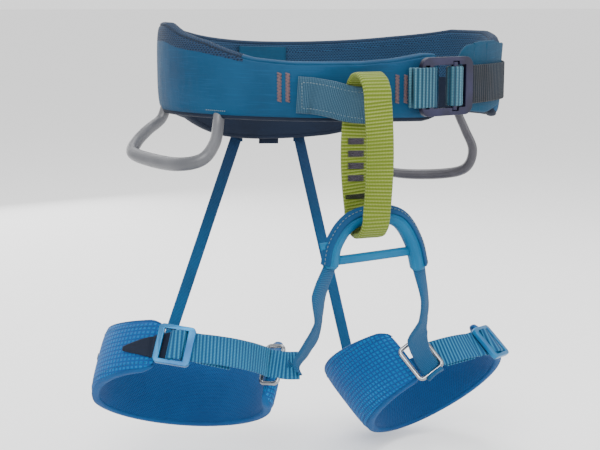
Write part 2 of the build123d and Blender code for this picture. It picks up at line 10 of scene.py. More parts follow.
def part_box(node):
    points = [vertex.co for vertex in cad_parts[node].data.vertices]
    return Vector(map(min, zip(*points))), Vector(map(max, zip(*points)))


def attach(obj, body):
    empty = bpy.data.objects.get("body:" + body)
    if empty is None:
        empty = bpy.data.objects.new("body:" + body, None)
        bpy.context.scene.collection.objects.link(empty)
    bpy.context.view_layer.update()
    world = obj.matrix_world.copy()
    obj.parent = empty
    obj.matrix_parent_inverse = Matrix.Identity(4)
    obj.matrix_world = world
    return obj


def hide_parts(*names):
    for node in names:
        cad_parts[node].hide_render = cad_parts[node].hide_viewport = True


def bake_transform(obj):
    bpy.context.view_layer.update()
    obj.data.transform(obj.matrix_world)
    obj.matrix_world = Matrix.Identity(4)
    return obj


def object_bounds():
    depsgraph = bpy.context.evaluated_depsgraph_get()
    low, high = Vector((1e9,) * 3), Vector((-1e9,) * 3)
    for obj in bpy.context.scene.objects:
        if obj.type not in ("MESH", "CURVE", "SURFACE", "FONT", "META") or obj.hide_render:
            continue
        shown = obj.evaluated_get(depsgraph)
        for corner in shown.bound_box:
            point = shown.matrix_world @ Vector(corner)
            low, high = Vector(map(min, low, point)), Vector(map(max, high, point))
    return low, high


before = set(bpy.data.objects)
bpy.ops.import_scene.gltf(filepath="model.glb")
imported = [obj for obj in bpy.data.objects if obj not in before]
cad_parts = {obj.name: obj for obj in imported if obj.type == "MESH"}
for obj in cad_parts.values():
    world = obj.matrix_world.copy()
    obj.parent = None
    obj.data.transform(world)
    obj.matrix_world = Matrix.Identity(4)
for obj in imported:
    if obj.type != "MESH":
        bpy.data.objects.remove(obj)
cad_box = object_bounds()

# A child's climbing harness.  +X is the wearer's left, the front is -Y and +Z is up.
# Lengths are written in millimetres, as in part.py, and MM brings them to the frame's metres.
MM = 0.001
UP = Vector((0, 0, 1))
ACROSS = Vector((1, 0, 0))

# --- the belt, read from its CAD pieces
belt_low, belt_high = (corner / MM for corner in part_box("waist_belt_outer_fabric"))
BELT_RIGHT, BELT_LEFT, BELT_DEPTH = -belt_low.x, belt_high.x, belt_high.y
BELT_SLANT = 0.03
BELT_TOP = ((-96, 20), (-50, 27), (-5, 34), (30, 34), (62, 28), (96, 20))
BELT_BOTTOM = ((-96, -19), (0, -21), (40, -22), (62, -29), (80, -42), (96, -50))
RIGHT_DIP = ((-96, 15.5), (-86, 15.5), (-78, 15.8), (-66, 18), (-56, 21.7), (-42.5, 26.8), (-22, 31.4),
             (0, 38))                     # (y, z) of the top edge where it dips, on the right
LEFT_DIP = ((0, 15.5), (22, 16.7), (45, 19.5), (60, 22))    # and (x, z) under the buckle
BELT_THICK = 8.7
BELT_START, BELT_END = -63.8, -387.7     # bearings of the pad's two ends, round by the wearer's right
WAIST_WEB, WAIST_WEB_THICK = 23, 1.5
WAIST_RIB, LEG_RIB = 2.6, 2.1            # pitch of the webbing's ribs
RISER_RIGHT_X, RISER_LEFT_X = -18, 27.5
RISER_TOP_Z = -52

# --- the leg loops, as in part.py
LEG_THICK = 6.2
LEG_WEB, LEG_WEB_THICK = 17.5, 1.6
LEGS = {
    "right": dict(
        side=-1, centre=(-81, -8, -177), half_width=56, half_depth=54, tilt=27, lean=24, slant=9,
        narrow=-55, top=((-75, 16), (0, 24), (75, 26)), bottom=((-75, -11), (0, -24), (75, -28)),
        pad=(-46, 228), buckle_at=-58, ring_at=-128, drop=0,
        shy=34, shy_height=9, strap_from=4, strap_end=((-24.5, -51.5, -168.8), (-32, -50, -168.4))),
    "left": dict(
        side=1, centre=(77, -8, -195), half_width=50, half_depth=58, tilt=39, lean=30, slant=17,
        narrow=-10, top=((-70, 12), (0, 18), (70, 27)), bottom=((-70, -12), (0, -20), (70, -29)),
        pad=(-26, 256), buckle_at=-44, ring_at=-98, drop=-9,
        shy=0, shy_height=0, strap_from=6, strap_end=()),
}


# --- bands: the belt and the two leg loops are all ovals with shaped edges

def level(edge, x):
    """Height of a shaped edge at a distance along it."""
    return float(np.interp(x, [p[0] for p in edge], [p[1] for p in edge]))


def between(start, end, count):
    """Evenly spaced values from start to end, count steps apart."""
    return [start + (end - start) * i / count for i in range(count + 1)]


class Belt:
    """Places on the waist belt, by bearing, depth below its outer face and height."""
    thick = BELT_THICK
    pad = (BELT_START, BELT_END)
    ends_in = 6

    def at(self, bearing, depth, height):
        a = radians(bearing)
        half = BELT_LEFT if cos(a) > 0 else BELT_RIGHT
        x = (half - depth) * cos(a)
        y = (BELT_DEPTH - depth) * sin(a)
        return Vector((x, y, height - BELT_SLANT * x))

    def edges(self, bearing):
        x, y = self.at(bearing, 0, 0).xy
        top = level(BELT_TOP, y)
        if y < 0 and x < LEFT_DIP[-1][0]:
            dip = level(RIGHT_DIP, y) if x < 0 else level(LEFT_DIP, x)
            top = min(top, dip + BELT_SLANT * x)
        return level(BELT_BOTTOM, y), top


class Leg:
    """Places on a leg loop, by bearing (0 lateral, 90 behind), depth below its face and height."""
    thick = LEG_THICK
    ends_in = 8

    def __init__(self, name):
        self.name = name
        self.__dict__.update(LEGS[name])
        lean = Matrix.Rotation(radians(-self.side * self.lean), 3, "Y")
        tilt = Matrix.Rotation(radians(-self.tilt), 3, "X")
        self.turn = lean @ tilt

    def at(self, bearing, depth, height):
        a = radians(bearing)
        x = self.side * (self.half_width - depth) * cos(a)
        y = (self.half_depth - depth) * sin(a)
        rise = -self.side * x * tan(radians(self.slant))
        return Vector(self.centre) + self.turn @ Vector((x, y, height + rise))

    def edges(self, bearing):
        a, n = radians(bearing), radians(self.narrow)
        u = -self.half_width * cos(a) * cos(n) - self.half_depth * sin(a) * sin(n)
        top = level(self.top, u)
        if self.shy:
            near = max(0.0, 1 - (self.pad[1] - bearing) / self.shy)
            top -= near * (top - self.shy_height)
        return level(self.bottom, u), top

    def up(self):
        return self.turn @ UP


BELT = Belt()
RIGHT, LEFT = Leg("right"), Leg("left")


# --- materials

class Graph:
    """A material's node graph, with one short call per node."""

    def __init__(self, name):
        self.material = bpy.data.materials.new(name)
        self.material.use_nodes = True
        self.tree = self.material.node_tree
        self.shader = self.tree.nodes["Principled BSDF"]

    def node(self, kind, **values):
        made = self.tree.nodes.new(kind)
        for key, value in values.items():
            setattr(made, key, value)
        return made

    def link(self, source, target):
        self.tree.links.new(source, target)

    def feed(self, made, inputs):
        for key, value in inputs.items():
            socket = made.inputs[key]
            if isinstance(value, bpy.types.NodeSocket):
                self.link(value, socket)
            else:
                socket.default_value = value
        return made

    def math(self, operation, a, b=0.0, c=0.0):
        made = self.node("ShaderNodeMath", operation=operation)
        return self.feed(made, {0: a, 1: b, 2: c}).outputs[0]

    def cloth(self):
        """Along, across and layer coordinates of a cloth piece, in millimetres."""
        made = self.node("ShaderNodeAttribute", attribute_name="cloth")
        split = self.feed(self.node("ShaderNodeSeparateXYZ"), {0: made.outputs["Vector"]})
        return split.outputs

    def place(self):
        return self.node("ShaderNodeTexCoord").outputs["Object"]

    def noise(self, scale, detail=2.0, vector=None):
        made = self.node("ShaderNodeTexNoise")
        return self.feed(made, {"Vector": vector or self.place(), "Scale": scale,
                                "Detail": detail}).outputs["Fac"]

    def streaks(self, u, v, along, across):
        """Noise drawn out by different scales along and across the cloth."""
        made = self.feed(self.node("ShaderNodeCombineXYZ"), {
            0: self.math("MULTIPLY", u, along), 1: self.math("MULTIPLY", v, across)})
        return self.noise(1.0, 3, made.outputs[0])

    def wave(self, value, pitch, phase=0.0):
        """0 to 1 and back over each pitch."""
        turned = self.math("MULTIPLY_ADD", value, 2 * pi / pitch, phase)
        return self.math("MULTIPLY_ADD", self.math("SINE", turned), 0.5, 0.5)

    def range(self, value, low, high, out_low=0.0, out_high=1.0):
        made = self.node("ShaderNodeMapRange", interpolation_type="SMOOTHSTEP")
        return self.feed(made, {0: value, 1: low, 2: high, 3: out_low, 4: out_high}).outputs[0]

    def mix(self, factor, a, b):
        made = self.node("ShaderNodeMix", data_type="RGBA")
        return self.feed(made, {0: factor, 6: a, 7: b}).outputs[2]

    def finish(self, color, height, depth, rough, sheen=0.0, metal=0.0, gloss=0.2):
        """Joins the colour, the relief (depth in millimetres) and the roughness to the shader."""
        if height is not None:
            bump = self.feed(self.node("ShaderNodeBump"), {
                "Strength": 1.0, "Distance": depth * MM, "Height": height})
            self.link(bump.outputs[0], self.shader.inputs["Normal"])
        self.feed(self.shader, {"Base Color": color, "Roughness": rough, "Metallic": metal,
                                "Sheen Weight": sheen, "Specular IOR Level": gloss})
        return self.material


DEPTH, SATURATION = 0.29, 1.3      # how far screen colours are darkened and strengthened as pigments


def rgb(code, gain=1.0):
    """Pigment for a six-digit screen colour, in linear light."""
    parts = [int(code[i:i + 2], 16) / 255 for i in (0, 2, 4)]
    linear = [p / 12.92 if p <= 0.04045 else ((p + 0.055) / 1.055) ** 2.4 for p in parts]
    grey = 0.21 * linear[0] + 0.72 * linear[1] + 0.07 * linear[2]
    strong = [max(0.001, grey + (p - grey) * SATURATION) for p in linear]
    return tuple(min(1, gain * DEPTH * p) for p in strong) + (1,)


def worn(g, color, dark, amount=0.35):
    """Broad uneven fading, the way handled cloth varies."""
    broad = g.range(g.noise(24, 3), 0.35, 0.7)
    return g.mix(g.math("MULTIPLY", broad, amount), color, dark)


def plain_cloth(name, light, dark, pitch=0.55, rough=0.7):
    """Tightly woven smooth cloth with a faint crosswise grain and soft creases."""
    g = Graph(name)
    u, v, _ = g.cloth()
    warp, weft = g.wave(u, pitch), g.wave(v, pitch)
    weave = g.math("MULTIPLY", warp, weft)
    slub = g.streaks(u, v, 0.06, 1.4)
    crease = g.streaks(u, v, 0.09, 0.035)
    color = worn(g, rgb(light), rgb(dark), 0.5)
    color = g.mix(g.range(slub, 0.52, 0.72, 0, 0.35), color, rgb(light, 1.5))
    height = g.math("ADD", g.math("MULTIPLY", weave, 0.5), g.math("MULTIPLY_ADD", crease, 6.0, slub))
    return g.finish(color, height, 0.16, g.math("MULTIPLY_ADD", weave, 0.12, rough))


def spacer_mesh(name, light, dark, pitch=2.1, depth=0.6):
    """Knitted mesh: staggered rows of small holes."""
    g = Graph(name)
    u, v, _ = g.cloth()
    rows = g.math("MULTIPLY", v, 2 / (pitch * 1.1))
    odd = g.math("MODULO", g.math("FLOOR", rows), 2.0)
    shifted = g.math("MULTIPLY_ADD", g.math("ABSOLUTE", odd), pitch / 2, u)
    across = g.math("PINGPONG", shifted, pitch / 2)
    down = g.math("PINGPONG", rows, 0.5)
    reach = g.math("POWER", g.math("ADD", g.math("POWER", g.math("DIVIDE", across, pitch / 2), 2.0),
                                   g.math("POWER", g.math("MULTIPLY", g.math("SUBTRACT", 0.5, down), 2.0),
                                          2.0)), 0.5)
    hole = g.range(reach, 0.45, 0.85)
    fuzz = g.noise(2600, 2)
    # painted shade: the holes are coloured darker than the knit around them
    color = g.mix(hole, rgb(dark), rgb(light))
    color = worn(g, color, rgb(dark), 0.3)
    height = g.math("MULTIPLY_ADD", fuzz, 0.25, hole)
    return g.finish(color, height, depth, 0.9, 0.04)


def waffle(name, light, dark, pitch=2.7):
    """Ripstop cloth in raised square cells."""
    g = Graph(name)
    u, v, _ = g.cloth()
    cell_u = g.range(g.math("PINGPONG", u, pitch / 2), 0.12, 0.75)
    cell_v = g.range(g.math("PINGPONG", v, pitch / 2), 0.12, 0.75)
    cell = g.math("MULTIPLY", cell_u, cell_v)
    thread = g.math("MULTIPLY", g.wave(u, 0.5), g.wave(v, 0.5))
    # painted shade: the sunken lines between the raised cells are coloured darker
    color = worn(g, g.mix(cell, rgb(dark), rgb(light)), rgb(dark), 0.45)
    height = g.math("MULTIPLY_ADD", thread, 0.12, cell)
    return g.finish(color, height, 0.3, 0.75)


def ribbed(name, light, dark, pitch=2.1, high=None, far=None, run=1.0):
    """Webbing: ribs across its length, fine threads along it and firm edges, coloured with painted shade in
    the rib troughs and a painted highlight on the crests.
    With far, the colour turns to it over the length run, painting light and shade that change along the
    strap."""
    g = Graph(name)
    u, v, _ = g.cloth()
    rib = g.math("POWER", g.wave(u, pitch), 0.6)
    thread = g.wave(v, 0.9)
    # painted shade: the rib troughs are coloured darker than the crests
    color = g.mix(rib, rgb(dark), rgb(light))
    if high:
        # painted highlight on the rib crests, where the fine threads rise
        color = g.mix(g.math("MULTIPLY", g.range(rib, 0.7, 1.0), thread), color, rgb(high))
    # painted light and shade along the strap: its colour turns to far over its length
    if far:
        color = g.mix(g.range(u, 0.0, run), color, g.mix(rib, rgb(far, 0.75), rgb(far)))
    color = worn(g, color, rgb(dark), 0.35)
    height = g.math("MULTIPLY_ADD", thread, 0.35, rib)
    return g.finish(color, height, 0.28, 0.7, 0.04)


def stitching(name, light, dark):
    """Twisted sewing thread, satin and a little uneven."""
    g = Graph(name)
    u, v, _ = g.cloth()
    twist = g.wave(g.math("MULTIPLY_ADD", v, 1.5, u), 0.42)
    # painted shade in the grooves of the twist, lighter on its ridges
    color = worn(g, g.mix(twist, rgb(dark), rgb(light)), rgb(dark), 0.4)
    return g.finish(color, twist, 0.12, 0.6, 0.05)


def metal(name, light, dark, rough=0.32, metallic=0.9, grain=900):
    """Anodised or polished metal with a fine grain, handling marks and a painted highlight on its sharp
    edges.
    """
    g = Graph(name)
    broad = g.noise(60, 3)
    fine = g.noise(grain, 2)
    color = g.mix(g.range(broad, 0.35, 0.7), rgb(light), rgb(dark))
    # painted highlight: sharp edges, found by pointiness, are lightened
    edge = g.range(g.node("ShaderNodeNewGeometry").outputs["Pointiness"], 0.52, 0.6, 0, 0.5)
    color = g.mix(edge, color, rgb(light, 2.2))
    roughness = g.math("MULTIPLY_ADD", broad, 0.18, rough)
    return g.finish(color, fine, 0.03, roughness, metal=metallic, gloss=0.5)


def moulded(name, light, dark):
    """Semi-matt moulded plastic with a fine texture and scuffs."""
    g = Graph(name)
    broad, fine = g.noise(45, 4), g.noise(1500, 2)
    scuff = g.range(g.noise(160, 5), 0.58, 0.7, 0, 0.4)
    color = g.mix(g.range(broad, 0.3, 0.75), rgb(light), rgb(dark))
    color = g.mix(scuff, color, rgb(light, 1.25))
    return g.finish(color, fine, 0.06, g.math("MULTIPLY_ADD", scuff, 0.3, 0.38), gloss=0.5)


MATERIALS = {
    "belt_cloth": (plain_cloth, "316893", "174468"),
    "navy_cloth": (plain_cloth, "1f2e48", "141c2e", 0.8),
    "back_patch": (plain_cloth, "2d5f83", "1d4463"),
    "tongue_cloth": (plain_cloth, "2f6486", "1d4867"),
    "sleeve": (ribbed, "56809c", "335c78", 0.9, "88a8bb"),
    "mesh": (spacer_mesh, "436a92", "1f3757"),
    "mesh_roll": (spacer_mesh, "34547a", "1a2f4b"),
    "leg_mesh": (spacer_mesh, "1580cc", "08508f", 1.7, 0.4),
    "leg_cloth": (waffle, "1aa6f5", "0a6ab8"),
    "leg_edge": (plain_cloth, "0f78bd", "0a5799"),
    "webbing_dark": (ribbed, "161f33", "0e1523", 1.8),
    "webbing_waist": (ribbed, "5c9ab4", "1e4460", 2.6, "a8d4e0"),
    "webbing_leg": (ribbed, "369bd4", "11588c", 2.1, "84cdee"),
    "webbing_bridge": (ribbed, "2583b8", "125a8c", 1.1),
    "webbing_lime": (ribbed, "b6cb6e", "8ba04f", 1.9, "e2eaac"),
    # elastic: painted shade, dark where the riser leaves the belt and brightening over 110 mm towards the leg
    # loop
    "elastic": (ribbed, "164f7f", "103f68", 0.9, None, "0f86c4", 110),
    "tube": (plain_cloth, "3c98cc", "1c6ca2", 0.7, 0.5),
    "tube_flap": (plain_cloth, "1d669c", "12507e", 0.9),
    # the waist strap: painted shade, light blue at the buckle and dark navy where it runs round the hip
    "strap_two_tone": (ribbed, "5c9ab4", "1e4460", 2.6, "a8d4e0", "0d1320", 34),
    "leg_seam": (stitching, "2f9ad6", "0d5f9c"),
    "thread": (stitching, "c4a9aa", "8d6f78"),
    "tack": (stitching, "8b8390", "564f60"),
    "dark_thread": (stitching, "4a5420", "23280f"),
    "pale_thread": (stitching, "d6e6ee", "8fb4c8"),
    "waist_alloy": (metal, "2d2d58", "1b1c3c", 0.38, 0.55),
    "leg_alloy": (metal, "22a8e6", "0d84c8", 0.3, 0.5),
    "wire": (metal, "f4f6fa", "c4c8d0", 0.16, 1.0),
    "gear_light": (moulded, "939499", "74767c"),
    # a darker copy of the gear loop plastic: painted shade for the loop at the back of the belt
    "gear_dark": (moulded, "65636c", "4a4852"),
    "dash": (plain_cloth, "c7d3dc", "8fb3cc"),
}
MATERIALS = {name: make(name, *values) for name, (make, *values) in MATERIALS.items()}


# --- mesh building

def mesh_object(name, points, faces, coords, materials, picks=None):
    """A smooth-shaded object.  points are in millimetres, coords are the cloth coordinates."""
    mesh = bpy.data.meshes.new(name)
    mesh.from_pydata([Vector(p) * MM for p in points], [], faces)
    attribute = mesh.attributes.new("cloth", "FLOAT_VECTOR", "POINT")
    attribute.data.foreach_set("vector", np.array(coords, np.float32).ravel())
    for material in materials:
        mesh.materials.append(MATERIALS[material])
    if picks is not None:
        mesh.polygons.foreach_set("material_index", picks)
    mesh.polygons.foreach_set("use_smooth", [True] * len(mesh.polygons))
    mesh.validate()
    obj = bpy.data.objects.new(name, mesh)
    bpy.context.scene.collection.objects.link(obj)
    return obj


def grid_faces(rows, columns, wrap_columns=True, offset=0):
    """Quads between rows of points; each row is a closed ring when its columns wrap."""
    reach = columns if wrap_columns else columns - 1
    return [
        (offset + i * columns + j, offset + i * columns + (j + 1) % columns,
         offset + (i + 1) * columns + (j + 1) % columns, offset + (i + 1) * columns + j)
        for i in range(rows - 1) for j in range(reach)
    ]


def ring_loft(name, rings, coords, materials, picks=None, closed=False):
    """Skins a list of rings of points.  The two ends are capped unless the rings close on themselves."""
    rows, columns = len(rings), len(rings[0])
    points = [p for ring in rings for p in ring]
    flat = [c for ring in coords for c in ring]
    faces = grid_faces(rows, columns)
    if closed:
        last = (rows - 1) * columns
        faces += [(last + j, last + (j + 1) % columns, (j + 1) % columns, j) for j in range(columns)]
    else:
        faces += [tuple(range(columns - 1, -1, -1)), tuple((rows - 1) * columns + j for j in range(columns))]
    if picks is not None:
        picks = picks + [0] * (len(faces) - len(picks))
    return mesh_object(name, points, faces, flat, materials, picks)


def smooth_path(points, steps):
    """A curve through all the points, with steps pieces between neighbours."""
    points = [Vector(p) for p in points]
    ghosts = [2 * points[0] - points[1], *points, 2 * points[-1] - points[-2]]
    path = []
    for a, b, c, d in zip(ghosts, ghosts[1:], ghosts[2:], ghosts[3:]):
        for i in range(steps):
            t = i / steps
            path.append(0.5 * (2 * b + (c - a) * t + (2 * a - 5 * b + 4 * c - d) * t * t
                               + (3 * b - a - 3 * c + d) * t ** 3))
    return path + [points[-1]]


def spaced(path, step):
    """The same path with points at an even spacing."""
    lengths = np.cumsum([0] + [(b - a).length for a, b in zip(path, path[1:])])
    count = max(2, ceil(lengths[-1] / step))
    marks = np.linspace(0, lengths[-1], count + 1)
    table = np.array(path)
    return [Vector([float(np.interp(m, lengths, table[:, k])) for k in range(3)]) for m in marks]


def curve(points, steps, step):
    """A curve through all the points, evenly spaced."""
    return spaced(smooth_path(points, steps), step)


def distances(path):
    """Distance along a path from its start to each of its points."""
    marks = [0.0]
    for a, b in zip(path, path[1:]):
        marks.append(marks[-1] + (b - a).length)
    return marks


def turns_of(sides):
    """The angles of a round section's points."""
    return [2 * pi * k / sides for k in range(sides)]


def run_of(path, i, closed=False):
    """Direction of a path at one of its points."""
    if closed:
        return (path[(i + 1) % len(path)] - path[i - 1]).normalized()
    return (path[min(i + 1, len(path) - 1)] - path[max(i - 1, 0)]).normalized()


def flat_section(width, thick, sides=7):
    """Outline of webbing: flat faces and rounded edges, as (across, through) pairs."""
    radius = thick / 2
    half = width / 2 - radius
    outline = [(half * (1 - 2 * i / sides), radius) for i in range(sides + 1)]
    outline += [(-half - radius * sin(a), radius * cos(a)) for a in (pi / 4, pi / 2, 3 * pi / 4)]
    outline += [(-half * (1 - 2 * i / sides), -radius) for i in range(sides + 1)]
    outline += [(half + radius * sin(a), -radius * cos(a)) for a in (pi / 4, pi / 2, 3 * pi / 4)]
    return outline


def webbing(name, path, across, width, thick, material, pitch=0.0, relief=0.1, closed=False, curl=0.0):
    """Flat webbing along a path.  across is the direction of its width, one or one per point.
    pitch and relief raise real ribs, and curl cups the strap."""
    if isinstance(across, Vector):
        across = [across] * len(path)
    rings, coords = [], []
    for i, (point, travelled) in enumerate(zip(path, distances(path))):
        run = run_of(path, i, closed)
        side = across[i] - run * across[i].dot(run)
        side.normalize()
        normal = run.cross(side)
        wide = width[i] if isinstance(width, (list, tuple)) else width
        swell = 1 + (relief * cos(2 * pi * travelled / pitch) if pitch else 0)
        ring = []
        for a, b in flat_section(wide, thick):
            lift = curl * (1 - (2 * a / wide) ** 2)
            ring.append(point + side * a + normal * (b * swell + lift))
        rings.append(ring)
        coords.append([(travelled, a, b) for a, b in flat_section(wide, thick)])
    return ring_loft(name, rings, coords, [material], closed=closed)


def tube(name, path, radius, material, sides=20, squash=1.0, across=UP):
    """A round or flattened tube along a path.  radius is one number or one per point."""
    rings, coords = [], []
    side = Vector(across)
    for i, (point, travelled) in enumerate(zip(path, distances(path))):
        run = run_of(path, i)
        side = (side - run * side.dot(run)).normalized()
        normal = run.cross(side)
        r = radius[i] if isinstance(radius, (list, tuple)) else radius
        turns = turns_of(sides)
        rings.append([point + side * (r * cos(a)) + normal * (r * squash * sin(a)) for a in turns])
        coords.append([(travelled, r * a, 0) for a in turns])
    return ring_loft(name, rings, coords, [material])


THREAD_SIDES = 6


def thread_faces(base, rows):
    """The faces of one closed thread whose points start at base."""
    last = base + (rows - 1) * THREAD_SIDES
    ends = [tuple(base + k for k in reversed(range(THREAD_SIDES))),
            tuple(last + k for k in range(THREAD_SIDES))]
    return grid_faces(rows, THREAD_SIDES, offset=base) + ends


def stitches(name, points, normals, material, length=1.7, thick=0.34):
    """Separate stitches lying along a line of points, as one object."""
    verts, faces, coords = [], [], []
    for i in range(len(points) - 1):
        middle = (points[i] + points[i + 1]) / 2
        run = (points[i + 1] - points[i]).normalized()
        normal = normals[i]
        side = run.cross(normal).normalized()
        base = len(verts)
        for part, swell in ((-0.5, 0.35), (-0.3, 1.0), (0.3, 1.0), (0.5, 0.35)):
            centre = middle + run * (part * length) + normal * (0.3 * thick * (swell - 0.6))
            for a in turns_of(THREAD_SIDES):
                verts.append(centre + side * (thick * swell * cos(a)) + normal * (thick * swell * sin(a)))
                coords.append((part * length, thick * a, i))
        faces += thread_faces(base, 4)
    return mesh_object(name, verts, faces, coords, [material])


def tack_block(name, centre, right, up, width, height, material, threads=9, thick=0.45):
    """A bar tack: close parallel threads across a narrow block, over two lengthwise ones."""
    right, up = right.normalized(), up.normalized()
    normal = right.cross(up)
    verts, faces, coords = [], [], []
    for k in range(threads):
        level_up = height * ((k + 0.5) / threads - 0.5)
        lean = 0.35 * height / threads * (1 if k % 2 else -1)
        base = len(verts)
        for part in (-0.5, -0.42, 0.0, 0.42, 0.5):
            swell = 0.45 if abs(part) == 0.5 else 1.0
            at = centre + right * (part * width) + up * (level_up + lean * part * 2)
            for a in turns_of(THREAD_SIDES):
                verts.append(at + up * (0.62 * height / threads * swell * cos(a))
                             + normal * (thick * swell * sin(a)))
                coords.append((part * width, a * thick, k))
        faces += thread_faces(base, 5)
    return mesh_object(name, verts, faces, coords, [material])


def settle(obj, pinned, pressure, cap, frames=20):
    """Lets a closed soft form fill out between its seams by cloth simulation, and keeps the result."""
    before = np.array([v.co[:] for v in obj.data.vertices])
    group = obj.vertex_groups.new(name="seam")
    group.add(pinned, 1.0, "REPLACE")
    cloth = obj.modifiers.new("Cloth", "CLOTH")
    cloth.settings.quality = 6
    cloth.settings.mass = 0.3
    cloth.settings.tension_stiffness = 25
    cloth.settings.compression_stiffness = 25
    cloth.settings.bending_stiffness = 2
    cloth.settings.use_pressure = True
    cloth.settings.uniform_pressure_force = pressure
    cloth.settings.effector_weights.gravity = 0
    cloth.settings.vertex_group_mass = "seam"
    cloth.collision_settings.use_collision = False
    cloth.collision_settings.use_self_collision = False
    cloth.point_cache.frame_end = frames
    for step in range(1, frames + 1):
        bpy.context.scene.frame_set(step)
    shaped = obj.evaluated_get(bpy.context.evaluated_depsgraph_get())
    after = np.array([v.co[:] for v in shaped.data.vertices])
    move = after - before
    reach = np.linalg.norm(move, axis=1, keepdims=True)
    move *= np.minimum(1, cap * MM / np.maximum(reach, 1e-9))
    obj.modifiers.remove(cloth)
    obj.vertex_groups.remove(group)
    obj.data.vertices.foreach_set("co", (before + move).ravel())
    bpy.context.scene.frame_set(1)


def apply_modifiers(obj):
    """Bakes an object's modifiers into its mesh."""
    shaped = obj.evaluated_get(bpy.context.evaluated_depsgraph_get())
    mesh = bpy.data.meshes.new_from_object(shaped)
    obj.modifiers.clear()
    obj.data = mesh
    return obj


def subdivided(obj, levels=1):
    modifier = obj.modifiers.new("Subdivision", "SUBSURF")
    modifier.levels = modifier.render_levels = levels
    return apply_modifiers(obj)


def install(obj, body, slot, *nodes):
    """The piece rides on a body and stands for its CAD nodes."""
    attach(obj, body)
    if nodes:
        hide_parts(*nodes)
    return obj


def deform(obj, node, start, end):
    """The piece stands for its CAD node, with its transform baked into its mesh; start and end are not used.
    """
    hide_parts(node)
    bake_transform(obj)


# --- padded bands

MESH_ROLL = ((-387, 4), (-300, 4), (-210, 9), (-180, 9), (-165, 6.5), (-150, 4), (-140, 1.8), (-130, 1.0),
             (-64, 1.0))       # bearing, and how far the mesh comes over the belt's outer face
THIN_ROLL = 1.2                # below this the cloth itself goes over the edge
ROLL_CHANGE = -134             # bearing where the top edge turns from cloth to mesh


END_HEIGHT, END_THICK = 0.8, 0.35        # shares of a band's height and thickness left at its ends
HEM_OUT = 0.22                 # how far a pad's hem stands past its face, as a share of its thickness
SKIN_GAP = 0.4                 # the cloth starts this far inside the band's faces, and swells out
PRESSURE, SWELL_CAP = 4.0, 1.2
FLAT_FADE = 6                  # degrees over which the crown comes back beside a flat stretch


def closing(band, bearing):
    """How full a band's section is: it closes down towards both ends of the pad."""
    near_end = min(abs(bearing - end) for end in band.pad)
    return min(1, near_end / band.ends_in) ** 0.5


def share_left(least, fullness):
    """A share that grows from least at a band's ends to 1 where the band is full."""
    return least + (1 - least) * fullness


def pad(name, band, bulge, materials, edge_inset, steps, foot_rows, roll=lambda bearing: 0.6, flat=None):
    """A crowned closed pad round a band.  Its materials are the cloth outside, the mesh inside, the
    inner foot and, where the top edge is rolled in mesh, the roll.  roll gives how far that mesh comes
    down over the outer face at a bearing, and flat is a stretch of bearings pressed flat outside."""
    face_rows = 15
    cloth_rows = 11
    rings, coords, picks, pinned = [], [], [], []
    travelled = 0.0
    previous = None
    columns = 2 * face_rows + 2
    for i, bearing in enumerate(between(*band.pad, steps)):
        low, high = band.edges(bearing)
        close = closing(band, bearing)
        low, high = low + edge_inset, high - edge_inset
        middle = (low + high) / 2
        half_height = (high - low) / 2 * share_left(END_HEIGHT, close)
        low, high = middle - half_height, middle + half_height
        hem = 1 - roll(bearing) / (high - low)
        shares = [hem * k / cloth_rows for k in range(cloth_rows)]
        shares += [hem + (1 - hem) * k / (face_rows - 1 - cloth_rows) for k in range(face_rows - cloth_rows)]
        centre = band.at(bearing, band.thick / 2, middle)
        if previous is not None:
            travelled += (centre - previous).length
        previous = centre
        ring, coord = [], []
        half = band.thick / 2 * share_left(END_THICK, close)
        beside = max(flat[0] - bearing, bearing - flat[1], 0) / FLAT_FADE if flat else 1
        full = close * min(1, beside)
        for share in shares:
            crown = bulge * (1 - (2 * share - 1) ** 4) * full
            height = low + (high - low) * share
            ring.append(band.at(bearing, band.thick / 2 - half - crown + SKIN_GAP, height))
            coord.append((travelled, height, 0))
        ring.append(band.at(bearing, band.thick / 2, high + band.thick * HEM_OUT))
        coord.append((travelled, high + 4, 0))
        for share in reversed(shares):
            height = low + (high - low) * share
            crown = 0.5 * bulge * (1 - (2 * share - 1) ** 4) * close
            ring.append(band.at(bearing, band.thick / 2 + half + crown - SKIN_GAP, height))
            coord.append((travelled, height, 1))
        ring.append(band.at(bearing, band.thick / 2, low - band.thick * HEM_OUT))
        coord.append((travelled, low - 4, 1))
        rings.append(ring)
        coords.append(coord)
        base = i * columns
        rows_pinned = [0, *range(cloth_rows, face_rows + 2), 2 * face_rows, columns - 1]
        pinned += [base + k for k in (range(columns) if i in (0, steps) or beside == 0 else rows_pinned)]
        if i < steps:
            over = 3 if roll(bearing) > THIN_ROLL else 0
            picks += [0 if k < cloth_rows else over if k < face_rows else
                      1 if k < columns - foot_rows else 2 for k in range(columns)]
    obj = ring_loft(name, rings, coords, materials, picks)
    settle(obj, pinned, PRESSURE, SWELL_CAP)
    subdivided(obj)
    return obj


